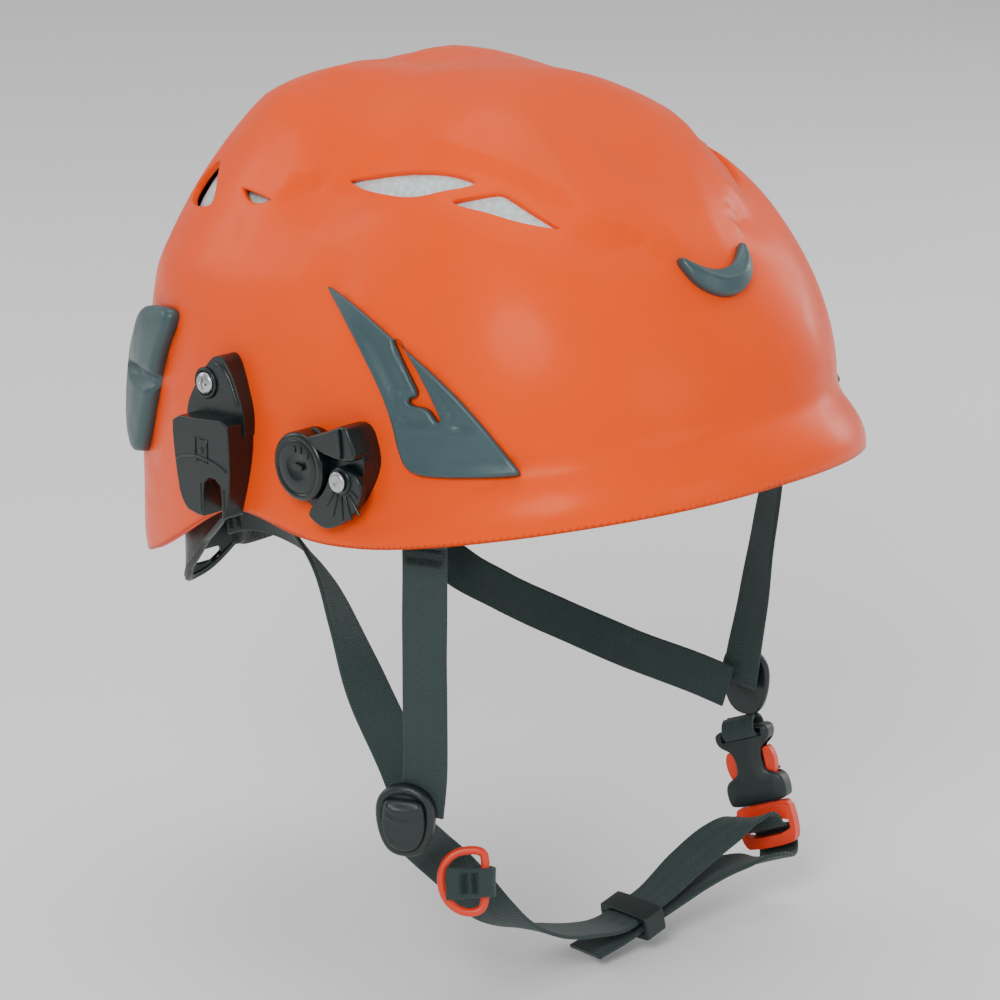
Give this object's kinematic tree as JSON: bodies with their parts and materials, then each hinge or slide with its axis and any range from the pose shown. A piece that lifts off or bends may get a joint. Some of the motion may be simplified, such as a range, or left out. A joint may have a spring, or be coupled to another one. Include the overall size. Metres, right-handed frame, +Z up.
{
  "type": "forestry helmet",
  "caption": "Vented climbing helmet with foam liner, side fittings for ear defenders and a visor, wheel-adjusted nape cradle and buckled chin strap.",
  "frame": {"origin": "centre of the head opening, between the ears, level with the top of the ears", "axes": "+Z is up through the crown, -Y is the helmet's front, -X is the wearer's right"},
  "size_m": [0.2242, 0.2763, 0.3188],
  "materials": {
    "orange_shell": "glossy moulded shell, orange",
    "foam": "light grey expanded foam",
    "slate": "satin slate green plastic",
    "black_green": "near-black green moulded plastic with a soft gloss",
    "dark_plastic": "dark moulded plastic",
    "webbing": "dark woven polyester webbing",
    "orange_part": "orange-red moulded plastic",
    "pad": "dark knitted fabric over soft foam",
    "steel": "turned steel screw head",
    "band": "flexible dark plastic band"
  },
  "bodies": {
    "root": {"outer_shell": "orange_shell", "foam_liner": "foam", "crown_pad": "pad", "front_lamp_clip": "slate", "side_panel_right": "slate", "rear_lamp_clip_right": "slate", "earmuff_adapter_right": "black_green", "adapter_screw_right": "steel", "visor_adapter_right": "black_green", "visor_pivot_right": "steel", "cradle_pivot_right": "dark_plastic", "front_anchor_right": "dark_plastic", "front_strap_right": "webbing", "rear_strap_right": "webbing", "divider_right": "dark_plastic", "side_panel_left": "slate", "rear_lamp_clip_left": "slate", "earmuff_adapter_left": "black_green", "adapter_screw_left": "steel", "visor_adapter_left": "black_green", "visor_pivot_left": "steel", "cradle_pivot_left": "dark_plastic", "front_anchor_left": "dark_plastic", "front_strap_left": "webbing", "rear_strap_left": "webbing", "divider_left": "dark_plastic", "headband": "band", "brow_pad": "pad", "ring_loop": "webbing", "socket_loop": "webbing", "chin_strap": "webbing", "strap_adjuster": "dark_plastic", "buckle_socket": "dark_plastic"},
    "cradle": {"nape_cradle": "dark_plastic", "nape_pad": "pad"},
    "wheel": {"size_wheel": "dark_plastic", "size_pinion": "dark_plastic"},
    "rack_left": {"size_rack_left": "band"},
    "rack_right": {"size_rack_right": "band"},
    "visor_right": {"visor_quadrant_right": "black_green"},
    "visor_left": {"visor_quadrant_left": "black_green"},
    "flap_right": {"divider_flap_right": "dark_plastic"},
    "flap_left": {"divider_flap_left": "dark_plastic"},
    "ring": {"d_ring": "orange_part"},
    "plug": {"buckle_plug": "orange_part"},
    "prong_front": {"buckle_prong_front": "orange_part"},
    "prong_rear": {"buckle_prong_rear": "orange_part"}
  },
  "joints": [
    {"name": "cradle_tilt", "type": "hinge", "parent": "root", "child": "cradle", "pos_m": [0, 0.042, 0.011], "axis": [1, 0, 0], "range_deg": [-14, 0], "deforming": ["rear_strap_right", "rear_strap_left"]},
    {"name": "wheel_turn", "type": "hinge", "parent": "cradle", "child": "wheel", "pos_m": [0, 0.112, -0.027], "axis": [0, 1, 0], "range_deg": [-90, 90]},
    {"name": "rack_slide_left", "type": "slide", "parent": "cradle", "child": "rack_left", "axis": [1, 0, 0], "range_m": [-0.0094, 0.0094]},
    {"name": "rack_slide_right", "type": "slide", "parent": "cradle", "child": "rack_right", "axis": [1, 0, 0], "range_m": [-0.0095, 0.0095]},
    {"name": "visor_arm_right", "type": "hinge", "parent": "root", "child": "visor_right", "pos_m": [-0.106, -0.0304, 0.0303], "axis": [1, 0, 0], "range_deg": [-30, 0]},
    {"name": "visor_arm_left", "type": "hinge", "parent": "root", "child": "visor_left", "pos_m": [0.106, -0.0304, 0.0303], "axis": [1, 0, 0], "range_deg": [-30, 0]},
    {"name": "flap_hinge_right", "type": "hinge", "parent": "root", "child": "flap_right", "pos_m": [-0.09374, -0.04225, -0.0858], "axis": [-0.4683, 0.8836, 0], "range_deg": [0, 75]},
    {"name": "flap_hinge_left", "type": "hinge", "parent": "root", "child": "flap_left", "pos_m": [0.0911, -0.0396, -0.0798], "axis": [0, -1, 0], "range_deg": [0, 75]},
    {"name": "ring_swing", "type": "hinge", "parent": "root", "child": "ring", "pos_m": [-0.06787, -0.05667, -0.1173], "axis": [0.2076, 0.2059, 0.9563], "range_deg": [-20, 25]},
    {"name": "plug_slide", "type": "slide", "parent": "root", "child": "plug", "axis": [0, -0.3629, -0.9318], "range_m": [0, 0.03], "deforming": ["chin_strap"]},
    {"name": "prong_squeeze_front", "type": "hinge", "parent": "plug", "child": "prong_front", "pos_m": [0.08962, -0.05553, -0.13139], "axis": [-0.9272, -0.349, 0.1359], "range_deg": [0, 6], "stiffness_Nm_per_rad": 0.05},
    {"name": "prong_squeeze_rear", "type": "hinge", "parent": "plug", "child": "prong_rear", "pos_m": [0.08438, -0.04343, -0.13611], "axis": [0.9272, 0.349, -0.1359], "range_deg": [0, 6], "stiffness_Nm_per_rad": 0.05}
  ],
  "couplings": [
    {"joint": "wheel_turn", "follows": "rack_slide_left", "rad_per_m": 166.67},
    {"joint": "rack_slide_right", "follows": "rack_slide_left", "ratio": -1}
  ]
}
